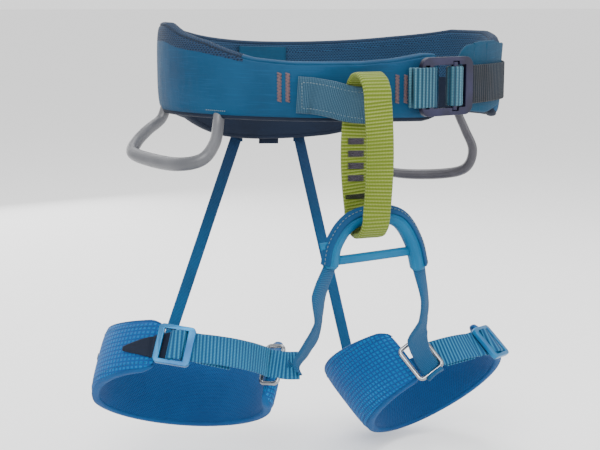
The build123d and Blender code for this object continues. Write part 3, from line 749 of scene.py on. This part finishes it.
def edge_roll(name, band, start, end, side, inset, radius, material):
    """The rolled edge of a band: side 1 is the top edge and side -1 the bottom edge."""
    steps = ceil(abs(end - start) / 2.2)
    path, across, fullness = [], [], []
    for bearing in between(start, end, steps):
        low, high = band.edges(bearing)
        fullness.append(closing(band, bearing))
        half_height = (high - low - 2 * inset) / 2 * share_left(END_HEIGHT, fullness[-1])
        height = (low + high) / 2 + side * half_height
        path.append(band.at(bearing, band.thick / 2, height))
        across.append(band.at(bearing, 0, height) - band.at(bearing, band.thick / 2, height))
    rings, coords = [], []
    for i, (point, travelled) in enumerate(zip(path, distances(path))):
        run = run_of(path, i)
        out = (across[i] - run * across[i].dot(run)).normalized()
        up = out.cross(run).normalized()
        taper = 0.15 + 0.85 * fullness[i]
        turns = turns_of(16)
        rings.append([point + out * (radius[0] * taper * cos(a)) + up * (radius[1] * taper * sin(a))
                      for a in turns])
        coords.append([(travelled, a * radius[0], 0) for a in turns])
    return ring_loft(name, rings, coords, [material])


def band_path(band, start, end, depth, height, step=1.0):
    """Points round a band at a depth and a height, with the direction up the band at each."""
    count = max(4, ceil(abs(end - start) / step))
    bearings = between(start, end, count)
    path = [band.at(b, depth, height) for b in bearings]
    up = [band.at(b, depth, height + 1) - band.at(b, depth, height) for b in bearings]
    return path, up


def waist_belt():
    shell = pad("waist_pad", BELT, 1.6, ["belt_cloth", "mesh", "navy_cloth", "mesh_roll"], 2.4, 150, 7,
                lambda bearing: level(MESH_ROLL, bearing), (front(-17), front(11)))
    install(shell, "waist_belt", "belt_cloth", "waist_belt_outer_fabric", "waist_belt_foam",
            "waist_belt_mesh_lining", "waist_load_webbing")
    for name, start, end, side, material, node in (
        ("waist_top_edge_front", BELT_START, ROLL_CHANGE, 1, "belt_cloth", "waist_belt_top_binding"),
        ("waist_top_edge_hip", ROLL_CHANGE, BELT_END, 1, "mesh_roll", "waist_belt_top_binding"),
        ("waist_bottom_edge", BELT_START, BELT_END, -1, "navy_cloth", "waist_belt_bottom_binding"),
    ):
        roll = edge_roll(name, BELT, start, end, side, 1.9, (3.3, 1.8), material)
        install(roll, "waist_belt", material.removesuffix("_roll"), node)
    return shell


def leg_pad(leg):
    start, end = leg.pad
    shell = pad(f"leg_pad_{leg.name}", leg, 1.2, ["leg_cloth", "leg_mesh", "leg_edge"], 1.9, 110, 2)
    install(shell, f"leg_loop_{leg.name}", "leg_cloth", f"leg_outer_fabric_{leg.name}",
            f"leg_foam_{leg.name}", f"leg_mesh_lining_{leg.name}")
    for word, side in (("top", 1), ("bottom", -1)):
        roll = edge_roll(f"leg_{word}_edge_{leg.name}", leg, start, end, side, 1.5, (2.5, 1.4), "leg_edge")
        install(roll, f"leg_loop_{leg.name}", "leg_mesh", f"leg_binding_{leg.name}")
    return shell


# --- trim on the belt

class Skin:
    """The face of a finished pad, found by looking in at it from outside or out at it from inside."""

    def __init__(self, obj, band):
        mesh = obj.data
        self.band = band
        faces = [p.vertices for p in mesh.polygons]
        self.tree = BVHTree.FromPolygons([v.co for v in mesh.vertices], faces)

    def at(self, bearing, proud, height, inside=False):
        band = self.band
        start = band.at(bearing, band.thick + 8 if inside else -8, height)
        toward = (band.at(bearing, band.thick / 2, height) - start).normalized()
        hit = self.tree.ray_cast(start * MM, toward)[0]
        surface = hit / MM if hit else band.at(bearing, band.thick if inside else 0, height)
        return surface - toward * proud

    def run(self, start, end, proud, height, inside=False, step=1.2):
        """Points on the face between two bearings, with the direction up the band."""
        count = max(3, ceil(abs(end - start) / step))
        bearings = between(start, end, count)
        path = [self.at(b, proud, height, inside) for b in bearings]
        up = [self.band.at(b, 0, height + 1) - self.band.at(b, 0, height) for b in bearings]
        return path, up


def front(x):
    """Bearing of the place on the front of the belt at a distance across."""
    return -degrees(acos(x / (BELT_LEFT if x > 0 else BELT_RIGHT)))


def back(x):
    return -front(x)


def hip(y):
    """Bearing of the place at the wearer's left hip at a distance from front to back."""
    return degrees(asin(y / BELT_DEPTH))


def seam_row(name, skin, start, end, height, material, step=2.4, thick=0.26, inside=False):
    """A row of stitches on a pad's face; height is a number or a function of the bearing."""
    count = max(8, ceil(abs(end - start) / 2))
    bearings = between(start, end, count)
    high = height if callable(height) else lambda b: height
    path = spaced([skin.at(b, 0.05, high(b), inside) for b in bearings], step)
    centre = sum(path, Vector()) / len(path)
    sign = -1 if inside else 1
    normals = []
    for a, b in zip(path, path[1:]):
        away, run = a - centre, (b - a).normalized()
        normals.append(sign * (away - run * away.dot(run)).normalized())
    return stitches(name, path, normals, material, step * 0.62, thick)


def belt_trim(skin):
    """Stitched seams, bar tacks, patch, tabs and anchors of the belt."""
    row = seam_row("waist_seam_gear_loop", skin, front(-79), front(-70.5), -15, "pale_thread", 1.5, 0.32)
    install(row, "waist_belt", "thread")

    for i, x in enumerate((-45, -40.8, 22.5, 28)):
        bearing = front(x)
        centre = skin.at(bearing, 0.15, 0)
        right = skin.at(bearing + 1, 0.15, 0) - centre
        tack = tack_block(f"waist_bar_tack_{i + 1}", centre, right, UP, 2.6, 16, "thread", 17, 0.34)
        install(tack, "waist_belt", "thread", "waist_bar_tacks")

    path, up = skin.run(back(-23), back(15), 1.4, -3, inside=True)
    patch = webbing("waist_back_patch", path, up, 44, 1.3, "back_patch")
    install(patch, "waist_belt", "belt_cloth", "waist_back_patch")

    for name, place, x0, x1, z0, z1 in (
        ("haul_tab_back", back, -2, 12, -48.5, -38), ("haul_tab_front", front, 32, 44, -27, -17),
    ):
        path, up = skin.run(place(x0), place(x1), 0.7, (z0 + z1) / 2)
        tab = webbing(name, path, up, z1 - z0, 1.4, "navy_cloth")
        install(tab, "waist_belt", "belt_cloth", "haul_tabs")

    for name, x in (("right", RISER_RIGHT_X), ("left", RISER_LEFT_X)):
        heights = [RISER_TOP_Z + 5 + i for i in range(13)]
        path = [skin.at(back(x), 0.9, h) for h in heights]
        anchor = webbing(f"riser_anchor_{name}", path, ACROSS, 8.6, 1.5, "elastic", 0.9, 0.06)
        install(anchor, "waist_belt", "webbing_dark", "riser_anchors")


def tie_in_strap(skin):
    """The sleeved strap that the rope and the belay loop go round, sewn to the belt at both ends."""
    ends = [skin.at(front(x), 1.5, h) for x, h in ((-36, -3.8), (-31.5, -4), (-27, -4.3))]
    bridge = [(-20, -90.6, -5), (-12, -93.8, -7.3), (-3, -94.4, -8.6), (4, -94, -8.2), (9.5, -92.4, -5.6)]
    far = [skin.at(front(x), 1.3, h) for x, h in ((13.5, -3.6), (16.5, -2.8))]
    path = curve(ends + bridge + far, 8, 0.9)
    strap = webbing("tie_in_strap", path, UP, 20.5, 2.4, "sleeve", curl=0.5)
    install(strap, "waist_belt", "sleeve", "tie_in_strap")
    seam_height = 7.2
    for word, height in (("top", seam_height), ("bottom", -seam_height)):
        line = spaced(path[3:], 2.0)
        rows = [p + UP * height for p in line]
        normals = [(b - a).cross(UP).normalized() for a, b in zip(line, line[1:])]
        rows = [p + n * 1.35 for p, n in zip(rows, normals + normals[-1:])]
        row = stitches(f"tie_in_stitches_{word}", rows, normals, "pale_thread", 1.25, 0.24)
        install(row, "waist_belt", "thread")
    foot = path[3]
    normal = (path[4] - path[3]).cross(UP).normalized()
    column = [foot + normal * 1.6 + UP * height for height in between(-seam_height, seam_height, 8)]
    row = stitches("tie_in_stitches_end", column, [normal] * len(column), "pale_thread", 1.2, 0.24)
    install(row, "waist_belt", "thread")


# --- belay loop and lower tie-in tube

BEND_STEPS, STRAND_STEPS = 24, 90


def belay_loop():
    """Stitched ring of ribbed webbing with its bar tacks."""
    low, high = (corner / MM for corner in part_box("belay_loop"))
    thick = 3.0
    x = (low.x + high.x) / 2
    y0, y1, z0, z1 = (low.y + thick / 2, high.y - thick / 2, low.z + thick / 2, high.z - thick / 2)
    radius = (y1 - y0) / 2
    middle = (y0 + y1) / 2
    drop = (z1 - radius) - (z0 + radius)
    back_lean, front_lean = -2.4, 1.7        # how far the two strands bow to the side
    bends = [pi * i / BEND_STEPS for i in range(BEND_STEPS)]
    shares = [i / STRAND_STEPS for i in range(STRAND_STEPS)]
    path = [Vector((x, middle - radius * cos(a), z1 - radius + radius * sin(a))) for a in bends]
    path += [Vector((x + back_lean * sin(pi * t), y1, z1 - radius - drop * t)) for t in shares]
    path += [Vector((x, middle + radius * cos(a), z0 + radius - radius * sin(a))) for a in bends]
    path += [Vector((x + front_lean * sin(pi * t), y0, z0 + radius + drop * t)) for t in shares]
    foot = BEND_STEPS + STRAND_STEPS + BEND_STEPS // 2
    path = path[foot:] + path[:foot]
    width = high.x - low.x
    loop = webbing("belay_loop", path, ACROSS, width, thick, "webbing_lime", 2.3, 0.13, closed=True)
    install(loop, "belay_loop", "webbing_lime", "belay_loop")
    face = y1 - thick / 2 - 0.35
    for i, z in enumerate((-29, -36, -43, -50)):
        tack = tack_block(f"belay_tack_{i + 1}", Vector((x - 2, face, z)), ACROSS, UP, 10, 3.4,
                          "tack", 7, 0.4)
        install(tack, "belay_loop", "thread", "belay_loop_tacks")
    knot = tack_block("belay_thread", Vector((x - 1.5, face, -60.5)), ACROSS, UP, 14, 2.6,
                      "dark_thread", 4, 0.45)
    install(knot, "belay_loop", "thread", "belay_loop_tacks")


TUBE_Y = -101
TUBE_PATH = (
    (-24.5, -100, -98.5), (-22.2, TUBE_Y, -85), (-13, TUBE_Y, -73.5), (2.5, TUBE_Y, -70),
    (17, TUBE_Y, -73.5), (26.2, TUBE_Y, -87), (31, -100, -103),
)


def tie_in_tube():
    """The folded tube of the lower tie-in point, with its sewn flap, crossbar and tag."""
    path = curve(TUBE_PATH, 14, 0.8)
    radius = [5.2 * min(1, 0.8 + 0.1 * min(i, len(path) - 1 - i)) for i in range(len(path))]
    body = tube("tie_in_tube", path, radius, "tube", 28, 0.92, (0, -1, 0))
    install(body, "waist_belt", "tube", "tie_in_tube")
    centre = Vector((2, TUBE_Y, -100))
    flap_path, side, seam, normals = [], [], [], []
    for i, p in enumerate(path[2:-2]):
        run = run_of(path, i + 2)
        away = (p - centre).normalized()
        away = (away - run * away.dot(run)).normalized()
        lean = (away * 0.8 + Vector((0, -0.6, 0))).normalized()
        flap_path.append(p + lean * 5.0)
        side.append(away * 0.6 + Vector((0, 0.8, 0)))
        seam.append(p + lean * 5.9)
        normals.append(lean)
    flap = webbing("tie_in_flap", flap_path, side, 6.4, 1.5, "tube_flap")
    install(flap, "waist_belt", "tube")
    rows = spaced(seam, 2.4)
    picked = [normals[min(len(normals) - 1, round(i * (len(normals) - 1) / (len(rows) - 1)))]
              for i in range(len(rows))]
    row = stitches("tie_in_tube_stitches", rows, picked, "pale_thread", 1.5, 0.26)
    install(row, "waist_belt", "thread")

    path = curve(((-20, TUBE_Y, -94.6), (-10, TUBE_Y - 0.6, -94), (8, TUBE_Y - 0.6, -93),
                  (24, TUBE_Y, -92.2)), 8, 1.0)
    bar = webbing("crossbar_strap", path, UP, 5.4, 2.4, "tube", curl=0.5)
    install(bar, "waist_belt", "tube", "crossbar_strap")
    path = curve(((-25, TUBE_Y - 3, -85.4), (-28, TUBE_Y - 2, -85.4),
                  (-31, TUBE_Y - 0.8, -86)), 6, 0.8)
    tag = webbing("tie_in_tag", path, UP, 4.2, 1.4, "tube", curl=0.6)
    install(tag, "waist_belt", "tube", "tie_in_tag")


# --- straps between the belt, the tube and the leg loops

RISER_FOOT = {"right": 91, "left": 124}      # bearings where the risers meet the leg loops
BRIDGES = {
    "right": (
        ((-24.7, -100.2, -98), (-28.5, -95, -114), (-25, -84, -132), (-23.5, -70, -148), (-24.5, -58, -160),
         (-26.3, -53, -168), (-30.2, -51.4, -172)),
        (9, 13, 9, 10, 14, 15.5, 7),
        ((1, 0.3, 0), (1, 0.6, 0), (0.8, 1, 0), (1, 0.4, 0), (0.8, 0, 0.6), (0.5, 0, 0.9), (0, 0, 1))),
    "left": (
        ((31, -100, -102), (37.5, -95, -122), (41.5, -86, -137), (43.5, -75, -151), (50.5, -67.5, -165),
         (57.2, -65.8, -175.5), (59.8, -68.2, -178.8), (58.4, -70.2, -177.4)),
        (9, 9, 8.5, 15, 12, 12, 12, 12),
        ((1, 0.3, 0), (1, 1, 0), (1, 0.8, 0), (1, 0.2, 0.2), (0.8, -0.1, 0.5), (0.8, -0.1, 0.58),
         (0.8, -0.1, 0.58), (0.8, -0.1, 0.58))),
}


def bridge_straps():
    """Twisting webbing from each end of the tube down to the wire ring of a leg loop."""
    for name, (points, widths, sides) in BRIDGES.items():
        path = smooth_path(points, 16)
        steps = np.linspace(0, len(points) - 1, len(path))
        knots = range(len(points))
        wide = [float(np.interp(s, knots, widths)) for s in steps]
        across = [Vector([float(np.interp(s, knots, [v[k] for v in sides])) for k in range(3)])
                  for s in steps]
        strap = webbing(f"bridge_strap_{name}", path, across, wide, 2.3, "webbing_bridge", curl=0.7)
        deform(strap, f"bridge_strap_{name}",
               path[4], path[-1])


def risers():
    """Elastic straps from the back of the belt to the back of each leg loop."""
    for leg, x in ((RIGHT, RISER_RIGHT_X), (LEFT, RISER_LEFT_X)):
        bearing = RISER_FOOT[leg.name]
        start = BELT.at(back(x), -1.4, RISER_TOP_Z + 8)
        end = leg.at(bearing, 3.1, leg.edges(bearing)[1] - 6)
        lip = leg.at(bearing, 3.1, leg.edges(bearing)[1] + 4)
        middle = (start + lip) / 2 + Vector((0, 0.6, -0.5))
        path = curve((start, middle, lip, end), 14, 1.0)
        strap = webbing(f"riser_{leg.name}", path, Vector((1, 0.1, 0)), 8.2, 1.7, "elastic")
        deform(strap, f"riser_{leg.name}",
               path[6], path[-6])


GEAR_LOOPS = {
    "right": (3.7, "gear_light", (
        (-71.8, -46.8, -12), (-73.5, -50, -21), (-78, -57, -31), (-86.5, -60, -39.4), (-98, -50, -42.7),
        (-108, -26, -42.3), (-113.4, -7, -40), (-109, 1, -34.5), (-101, 5, -28), (-91.5, 9.5, -22),
        (-88, 10, -14))),
    # the left loop takes the darker copy: painted shade, as it sits behind in the belt's shadow
    "left": (3.2, "gear_dark", (
        (119.8, 27, -18), (122.8, 27, -27), (128, 26.4, -38), (133.4, 24.8, -52), (130.5, 29.5, -65),
        (118, 42, -70), (95, 61, -71), (82, 70, -66.5), (75, 70.5, -54), (72.6, 69.5, -43), (71, 67, -35))),
}


def gear_loops():
    """Moulded loops whose ends are sewn in under the belt."""
    for name, (radius, material, points) in GEAR_LOOPS.items():
        path = curve(points, 12, 1.2)
        sizes = [radius * (1 - 0.12 * cos(2 * pi * i / len(path))) for i in range(len(path))]
        loop = tube(f"gear_loop_{name}", path, sizes, material, 24)
        install(loop, f"gear_loop_{name}", material, f"gear_loop_{name}")


# --- waist closure

TURN = radians(17)
BUCKLE_ORIGIN = Vector((34, -89.5, 0))
BUCKLE_X, BUCKLE_Z = Vector((cos(TURN), sin(TURN), 0)), Vector((sin(TURN), -cos(TURN), 0))
TAIL_TURN = radians(50)


def on_buckle(x, z, y=0.0):
    """A place on the waist buckle: x along the strap, z out of its face, y up."""
    return BUCKLE_ORIGIN + BUCKLE_X * x + BUCKLE_Z * z + Vector((0, 0, y))


def rounded_copy(name, node, material, radius):
    """A CAD piece with its sharp edges rounded off."""
    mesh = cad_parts[node].data.copy()
    obj = bpy.data.objects.new(name, mesh)
    bpy.context.scene.collection.objects.link(obj)
    form = bmesh.new()
    form.from_mesh(mesh)
    bmesh.ops.remove_doubles(form, verts=form.verts, dist=1e-6)
    bmesh.ops.dissolve_limit(form, angle_limit=radians(1), verts=form.verts, edges=form.edges)
    form.to_mesh(mesh)
    form.free()
    modifier = obj.modifiers.new("Bevel", "BEVEL")
    modifier.width = radius * MM
    modifier.segments = 4
    modifier.limit_method = "ANGLE"
    modifier.angle_limit = radians(40)
    apply_modifiers(obj)
    obj.data.materials.clear()
    obj.data.materials.append(MATERIALS[material])
    obj.data.polygons.foreach_set("use_smooth", [True] * len(obj.data.polygons))
    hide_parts(node)
    return obj


def waist_closure(skin):
    """Buckle, the webbing round its bars, the tongue behind it, the strap's free end and keeper."""
    for part, radius in (("frame", 1.2), ("slide_bar", 0.9)):
        piece = rounded_copy(f"waist_{part}", f"waist_buckle_{part}", "waist_alloy", radius)
        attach(piece, "waist_buckle")

    fold = [(-4.4, 1.4), (-2, 2.5), (1, 3.0), (8, 3.0), (11.4, 2.5), (12.6, 0), (11.4, -2.5), (8, -2.9),
            (-4, -2.9)]
    path = curve([on_buckle(x, z) for x, z in fold], 12, 0.45)
    anchor = webbing("waist_anchor_webbing", path, UP, WAIST_WEB, WAIST_WEB_THICK, "webbing_waist",
                     WAIST_RIB, 0.16)
    deform(anchor, "waist_buckle_anchor",
           on_buckle(-4, 0), on_buckle(6, 0))

    bar = [(34.2, -0.6), (33.4, 1.6), (31.6, 2.9), (29, 3.1), (26.6, 2.9), (24.9, 1.6), (24.5, 0), (25, -1.8),
           (27, -2.9), (36, -3.0), (42, -3.2)]
    outward = [Vector(p) for p in ((80, -71.2, 0), (88, -66, 0))]
    round_hip = [skin.at(hip(y), 1.2, BELT_SLANT * BELT_LEFT) for y in (-30, -20, -10, 0, 10, 22)]
    gap = [(95.8, -60.9, 0), (109, -50, 0), (116.6, -42, 0)]
    path = curve([on_buckle(x, z) for x, z in bar] + outward + gap + round_hip, 12, 0.5)
    # painted shade: the strap darkens to navy beyond the buckle as it runs round the hip
    strap = webbing("waist_strap", path, UP, WAIST_WEB, WAIST_WEB_THICK, "strap_two_tone", WAIST_RIB, 0.16)
    deform(strap, "waist_strap",
           outward[-1], on_buckle(36, 0))

    start = Vector((62, -75.2, 0))
    run, out = Vector((cos(TAIL_TURN), sin(TAIL_TURN), 0)), Vector((sin(TAIL_TURN), -cos(TAIL_TURN), 0))
    length = 42
    path = [start + run * (length * t) + out * (0.8 + 0.5 * sin(pi * t)) for t in between(0, 1, 60)]
    tail = webbing("waist_strap_tail", path, UP, WAIST_WEB - 2, WAIST_WEB_THICK, "webbing_dark",
                   WAIST_RIB, 0.14)
    install(tail, "waist_tail", "webbing_waist", "waist_strap_tail")

    top = ((71, 20), (80, 23.6), (90, 25.2), (104, 25.6), (114, 23.5))
    bottom = ((71, -12), (84, -17), (96, -18.5), (106, -16), (114, -12))
    nose, reach, middle = 71, 46, 4          # x of its rounded nose, its length and its middle height
    path, wide = [], []
    for share in between(0, 1, 60):
        x = nose + reach * share ** 1.6
        swell = (1 - (1 - min(1, (x - nose) / 11)) ** 3) ** 0.5
        low, high = (middle + (level(edge, x) - middle) * swell for edge in (bottom, top))
        path.append(BELT.at(front(x), 4.5 - 5.8 * share, (low + high) / 2 + BELT_SLANT * x))
        wide.append(max(2, high - low))
    tongue = webbing("waist_tongue", path, UP, wide, 2.2, "tongue_cloth", curl=-0.8)
    install(tongue, "waist_belt", "belt_cloth", "waist_tongue")

    path = []
    for proud, height in ((-0.2, -15.4), (1.8, -15.2), (3.3, -13), (3.5, -6), (3.6, 0), (3.5, 6), (3.3, 13),
                          (1.8, 15.2), (-0.2, 15.4)):
        path.append(skin.at(hip(7), proud, height))
    path = curve(path, 8, 0.7)
    keeper = webbing("waist_keeper", path, Vector((0.05, 1, 0)), 10, 1.3, "navy_cloth")
    install(keeper, "waist_belt", "navy_cloth", "waist_strap_keeper")


# --- leg straps and buckles

BUCKLE_STAND_OFF = 4.4
STRAP_WRAP = (         # round the buckle's middle bar: towards the ring, and out from the buckle's plane
    (11, -3.2), (7.5, -2.6), (5.2, -0.6), (4.0, 1.8), (1.6, 2.7), (-1.2, 2.4), (-2.8, 0.6),
    (-2.6, -1.6), (-0.6, -2.7))
TAIL_LENGTH = {"right": 24, "left": 20}


def leg_trim(leg, skin):
    """Everything on a leg loop but its pad: strap, tabs, free end, buckle, ring and stitching."""
    body = f"leg_loop_{leg.name}"
    start, end = leg.pad

    seat = leg.at(leg.buckle_at, -BUCKLE_STAND_OFF, leg.drop)
    medial = (leg.at(leg.buckle_at - 2, -BUCKLE_STAND_OFF, leg.drop) - seat).normalized()
    face = (seat - leg.at(leg.buckle_at, 0, leg.drop)).normalized()
    wrap = [seat + medial * x + face * z for x, z in STRAP_WRAP]
    round_leg = band_path(leg, leg.ring_at + leg.strap_from, leg.buckle_at - 14, -1.2, leg.drop, 3)[0]
    path = curve([*leg.strap_end] + round_leg + wrap, 8, 0.5)
    strap = webbing(f"leg_strap_{leg.name}", path, leg.up(), LEG_WEB, LEG_WEB_THICK, "webbing_leg",
                    LEG_RIB, 0.2)
    deform(strap, f"leg_strap_{leg.name}",
           leg.at(leg.buckle_at - 16, 0, leg.drop), leg.at(leg.buckle_at - 2, 0, leg.drop))

    first, reach, tip = leg.buckle_at + 3, 31, 3
    shares = between(0, 1, 30)
    bearings = [first + reach * t for t in shares]
    path = [skin.at(b, 1.0, leg.drop) if b > start + 2 else leg.at(b, -1.2, leg.drop) for b in bearings]
    wide = [LEG_WEB - (LEG_WEB - tip) * t ** 1.2 for t in shares]
    tab = webbing(f"leg_anchor_tab_{leg.name}", path, leg.up(), wide, 1.5, "navy_cloth")
    install(tab, body, "navy_cloth", f"leg_anchor_tab_{leg.name}")

    path, up = band_path(leg, end - 14, 358 + leg.ring_at, leg.thick + 0.8, leg.drop, 1)
    tab = webbing(f"leg_ring_tab_{leg.name}", path, up, 10, 1.2, "leg_edge")
    install(tab, body, "navy_cloth", f"leg_ring_tab_{leg.name}")

    begin = leg.at(leg.buckle_at - 13, 2.8, leg.drop)
    aim = leg.at(leg.ring_at + 6, 5, leg.drop)
    run = (aim - begin).normalized()
    path = [begin + run * reach for reach in between(0, TAIL_LENGTH[leg.name], 40)]
    tail = webbing(f"leg_strap_tail_{leg.name}", path, leg.up(), LEG_WEB - 1.4, 1.5, "webbing_leg",
                   LEG_RIB, 0.18)
    install(tail, f"leg_tail_{leg.name}", "webbing_leg", f"leg_strap_tail_{leg.name}")

    buckle = rounded_copy(f"leg_frame_{leg.name}", f"leg_buckle_{leg.name}", "leg_alloy", 0.9)
    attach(buckle, f"leg_buckle_{leg.name}")
    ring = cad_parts[f"wire_ring_{leg.name}"]
    ring.data.materials.clear()
    ring.data.materials.append(MATERIALS["wire"])

    if leg.name == "right":
        path, up = skin.run(16, 27, 0.3, 3)
        dash = webbing("leg_dash", path, up, 3.0, 0.5, "dash")
        install(dash, body, "thread")

    for word, edge, drop in (("top", 1, -5.2), ("bottom", 0, 5.2)):
        row = seam_row(f"leg_seam_{word}_{leg.name}", skin, start + 4, end - 4,
                       lambda b, edge=edge, drop=drop: leg.edges(b)[edge] + drop, "leg_seam", 2.2, 0.22)
        install(row, body, "thread")


belt_skin = Skin(waist_belt(), BELT)
belt_trim(belt_skin)
tie_in_strap(belt_skin)
waist_closure(belt_skin)
belay_loop()
tie_in_tube()
bridge_straps()
risers()
gear_loops()
for loop in (RIGHT, LEFT):
    leg_trim(loop, Skin(leg_pad(loop), loop))


# --- camera, lights and floor

def studio():
    """Camera at the product's three-quarter view, three soft area lights and a pale floor."""
    target = Vector((-4, 0, -92)) * MM
    azimuth, elevation, distance = radians(-21), radians(10), 0.8
    toward = Vector((sin(azimuth) * cos(elevation), -cos(azimuth) * cos(elevation), sin(elevation)))
    camera = bpy.data.objects.new("camera", bpy.data.cameras.new("camera"))
    camera.data.lens = 75
    camera.data.sensor_width = 36
    camera.location = target + toward * distance
    camera.rotation_euler = (-toward).to_track_quat("-Z", "Y").to_euler()
    bpy.context.scene.collection.objects.link(camera)
    bpy.context.scene.camera = camera

    for name, place, size, watts in (
        ("key", (-0.55, -0.9, 0.75), 0.7, 15),
        ("fill", (0.9, -0.7, 0.25), 0.9, 7),
        ("top", (0.1, 0.35, 1.0), 0.8, 10),
        ("back", (-0.2, 1.0, 0.2), 0.8, 6),
    ):
        light = bpy.data.objects.new(name, bpy.data.lights.new(name, "AREA"))
        light.data.energy = watts
        light.data.size = size
        light.location = place
        light.rotation_euler = (target - Vector(place)).to_track_quat("-Z", "Y").to_euler()
        bpy.context.scene.collection.objects.link(light)

    world = bpy.data.worlds.new("studio")
    world.use_nodes = True
    background = world.node_tree.nodes["Background"]
    background.inputs["Color"].default_value = (1, 1, 1, 1)
    background.inputs["Strength"].default_value = 1.45
    bpy.context.scene.world = world

    low = cad_box[0].z
    half, drop = 80.0, 0.004
    mesh = bpy.data.meshes.new("floor")
    mesh.from_pydata([(x, y, low - drop) for x, y in ((-half, -half), (half, -half), (half, half),
                                                      (-half, half))], [], [(0, 1, 2, 3)])
    floor = bpy.data.objects.new("floor", mesh)
    g = Graph("floor")
    g.finish((0.88, 0.88, 0.88, 1), None, 0, 0.9)
    mesh.materials.append(g.material)
    bpy.context.scene.collection.objects.link(floor)


studio()
